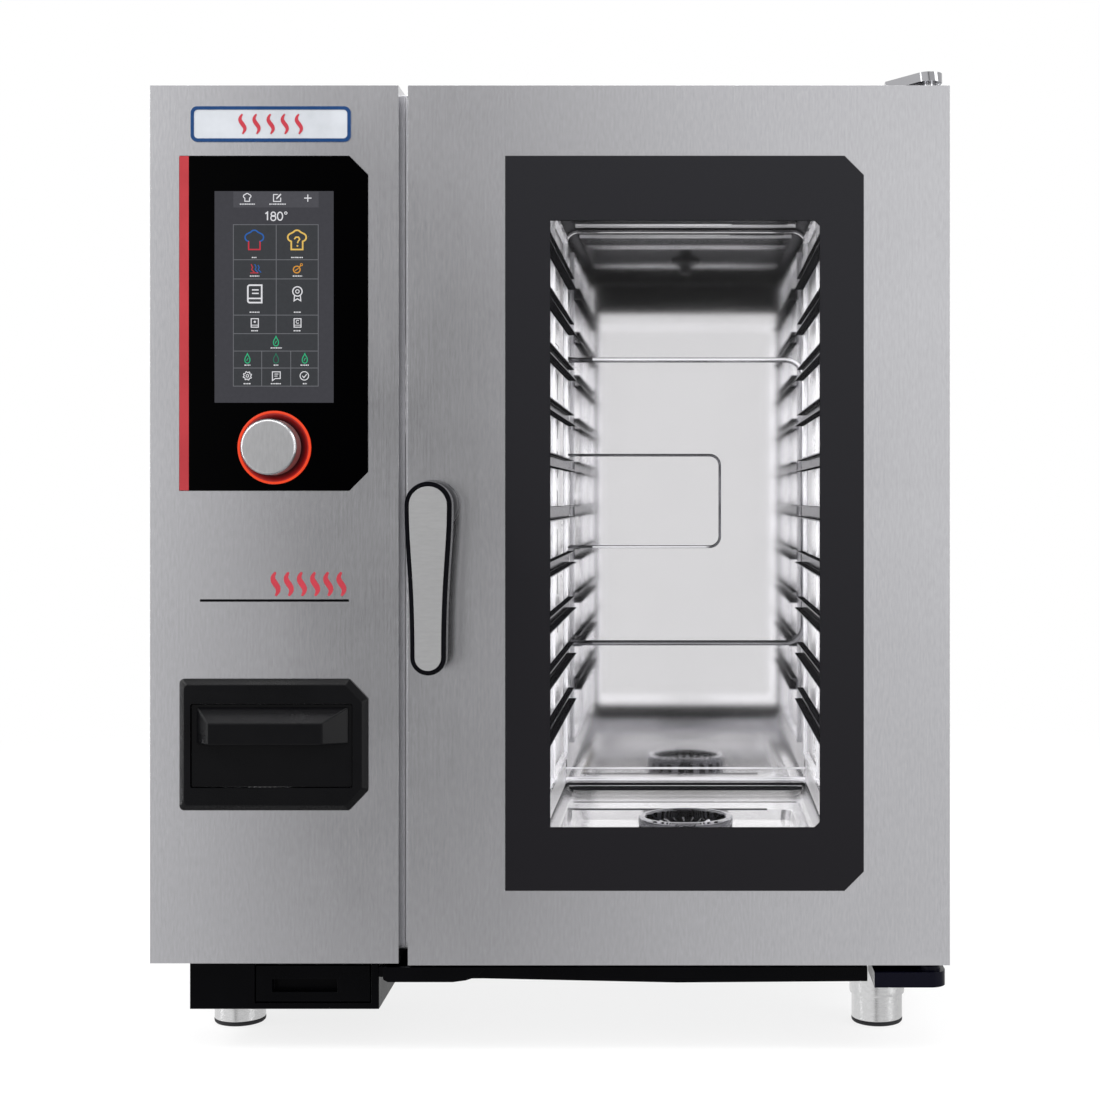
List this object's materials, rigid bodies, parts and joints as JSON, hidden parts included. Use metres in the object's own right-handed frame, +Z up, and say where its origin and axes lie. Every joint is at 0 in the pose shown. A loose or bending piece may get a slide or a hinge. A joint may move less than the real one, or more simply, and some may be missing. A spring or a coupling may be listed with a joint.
{
  "type": "combi steamer oven",
  "caption": "Countertop combi steamer for restaurant kitchens: touch panel and selector knob on the left, tall glass door hinged on the right, lever handle, pan cavity inside.",
  "frame": {"origin": "centre of the casing's footprint, on the floor under the feet", "axes": "+Z up, +X to the right seen from the front, the front (door and controls) faces -Y"},
  "size_m": [0.85, 0.9, 1.072],
  "materials": {
    "steel_brushed": "vertical brushed",
    "steel_polished": "polished",
    "steel_galvanised": "matt",
    "steel_dark": "satin",
    "plastic_black": "satin",
    "panel_black": "gloss",
    "screen": "gloss",
    "light_ring": "lit",
    "rubber": "matt",
    "silicone": "matt",
    "mineral_wool": "fibrous",
    "pane": "clear",
    "brass_fitting": "satin"
  },
  "bodies": {
    "cabinet": {"base_frame": "steel_galvanised", "bottom_plate": "steel_brushed", "left_side_panel": "steel_brushed", "right_side_panel": "steel_brushed", "top_panel": "steel_brushed", "rear_panel": "steel_brushed", "front_frame": "steel_brushed", "cavity_liner": "steel_polished", "insulation_jacket": "mineral_wool", "fan_baffle": "steel_polished", "fan_motor": "steel_dark", "heating_element": "steel_dark", "drain_pipe": "plastic_black", "spray_head": "steel_polished", "door_gasket": "silicone", "steam_generator": "steel_galvanised", "control_board_case": "plastic_black", "control_fascia": "steel_brushed", "control_glass": "panel_black", "display_screen": "screen", "knob_light_ring": "light_ring", "drawer_bezel": "plastic_black", "drawer_housing": "steel_galvanised", "air_intake_box": "plastic_black", "drip_gutter": "plastic_black", "hinge_bracket_top": "steel_polished", "hinge_bracket_bottom": "steel_dark", "latch_keeper": "steel_polished", "vent_pipe": "steel_brushed", "water_inlet": "brass_fitting", "foot_sleeve_front_left": "steel_brushed", "foot_sleeve_front_right": "steel_brushed", "foot_sleeve_rear_left": "steel_brushed", "foot_sleeve_rear_right": "steel_brushed"},
    "door": {"door_skin": "steel_brushed", "door_inner_pan": "steel_polished", "door_glass_outer": "pane", "door_glass_inner": "pane", "handle_rosette": "steel_dark"},
    "handle": {"handle_shell": "plastic_black", "handle_face": "steel_brushed", "handle_spindle": "steel_dark"},
    "plunger": {"encoder_plunger": "steel_dark"},
    "knob": {"knob_cap": "steel_brushed"},
    "drawer": {"drawer_front": "plastic_black", "drawer_tray": "steel_galvanised"},
    "filter": {"air_filter": "plastic_black"},
    "fan": {"fan_wheel": "steel_polished"},
    "left_rack": {"rack_left": "steel_polished"},
    "right_rack": {"rack_right": "steel_polished"},
    "strainer": {"drain_strainer": "steel_polished"},
    "flap": {"vent_flap": "steel_brushed"},
    "foot_front_left": {"foot_leg_front_left": "steel_brushed", "foot_pad_front_left": "rubber"},
    "foot_front_right": {"foot_leg_front_right": "steel_brushed", "foot_pad_front_right": "rubber"},
    "foot_rear_left": {"foot_leg_rear_left": "steel_brushed", "foot_pad_rear_left": "rubber"},
    "foot_rear_right": {"foot_leg_rear_right": "steel_brushed", "foot_pad_rear_right": "rubber"}
  },
  "joints": [
    {"name": "door_hinge", "type": "hinge", "parent": "cabinet", "child": "door", "pos_m": [0.405, -0.382, 0.5], "axis": [0, 0, 1], "range_deg": [0, 180]},
    {"name": "handle_turn", "type": "hinge", "parent": "door", "child": "handle", "pos_m": [-0.123, -0.42, 0.585], "axis": [0, 1, 0], "range_deg": [-60, 60]},
    {"name": "knob_press", "type": "slide", "parent": "cabinet", "child": "plunger", "axis": [0, 1, 0], "range_m": [0, 0.002], "stiffness_N_per_m": 2000},
    {"name": "knob_turn", "type": "hinge", "parent": "plunger", "child": "knob", "pos_m": [-0.2927, -0.42, 0.6462], "axis": [0, 1, 0], "continuous": true},
    {"name": "drawer_slide", "type": "slide", "parent": "cabinet", "child": "drawer", "axis": [0, -1, 0], "range_m": [0, 0.16]},
    {"name": "filter_slide", "type": "slide", "parent": "cabinet", "child": "filter", "axis": [0, -1, 0], "range_m": [0, 0.14]},
    {"name": "fan_spin", "type": "hinge", "parent": "cabinet", "child": "fan", "pos_m": [-0.1, 0.02, 0.585], "axis": [1, 0, 0], "continuous": true},
    {"name": "left_rack_lift", "type": "slide", "parent": "cabinet", "child": "left_rack", "axis": [0, 0, 1], "range_m": [0, 0.009]},
    {"name": "right_rack_lift", "type": "slide", "parent": "cabinet", "child": "right_rack", "axis": [0, 0, 1], "range_m": [0, 0.009]},
    {"name": "strainer_lift", "type": "slide", "parent": "cabinet", "child": "strainer", "axis": [0, 0, 1], "range_m": [0, 0.05]},
    {"name": "flap_turn", "type": "hinge", "parent": "cabinet", "child": "flap", "pos_m": [0.25, 0.3, 1.056], "axis": [1, 0, 0], "range_deg": [0, 90]},
    {"name": "foot_screw_front_left", "type": "slide", "parent": "cabinet", "child": "foot_front_left", "axis": [0, 0, -1], "range_m": [0, 0.02]},
    {"name": "foot_screw_front_right", "type": "slide", "parent": "cabinet", "child": "foot_front_right", "axis": [0, 0, -1], "range_m": [0, 0.02]},
    {"name": "foot_screw_rear_left", "type": "slide", "parent": "cabinet", "child": "foot_rear_left", "axis": [0, 0, -1], "range_m": [0, 0.02]},
    {"name": "foot_screw_rear_right", "type": "slide", "parent": "cabinet", "child": "foot_rear_right", "axis": [0, 0, -1], "range_m": [0, 0.02]}
  ]
}
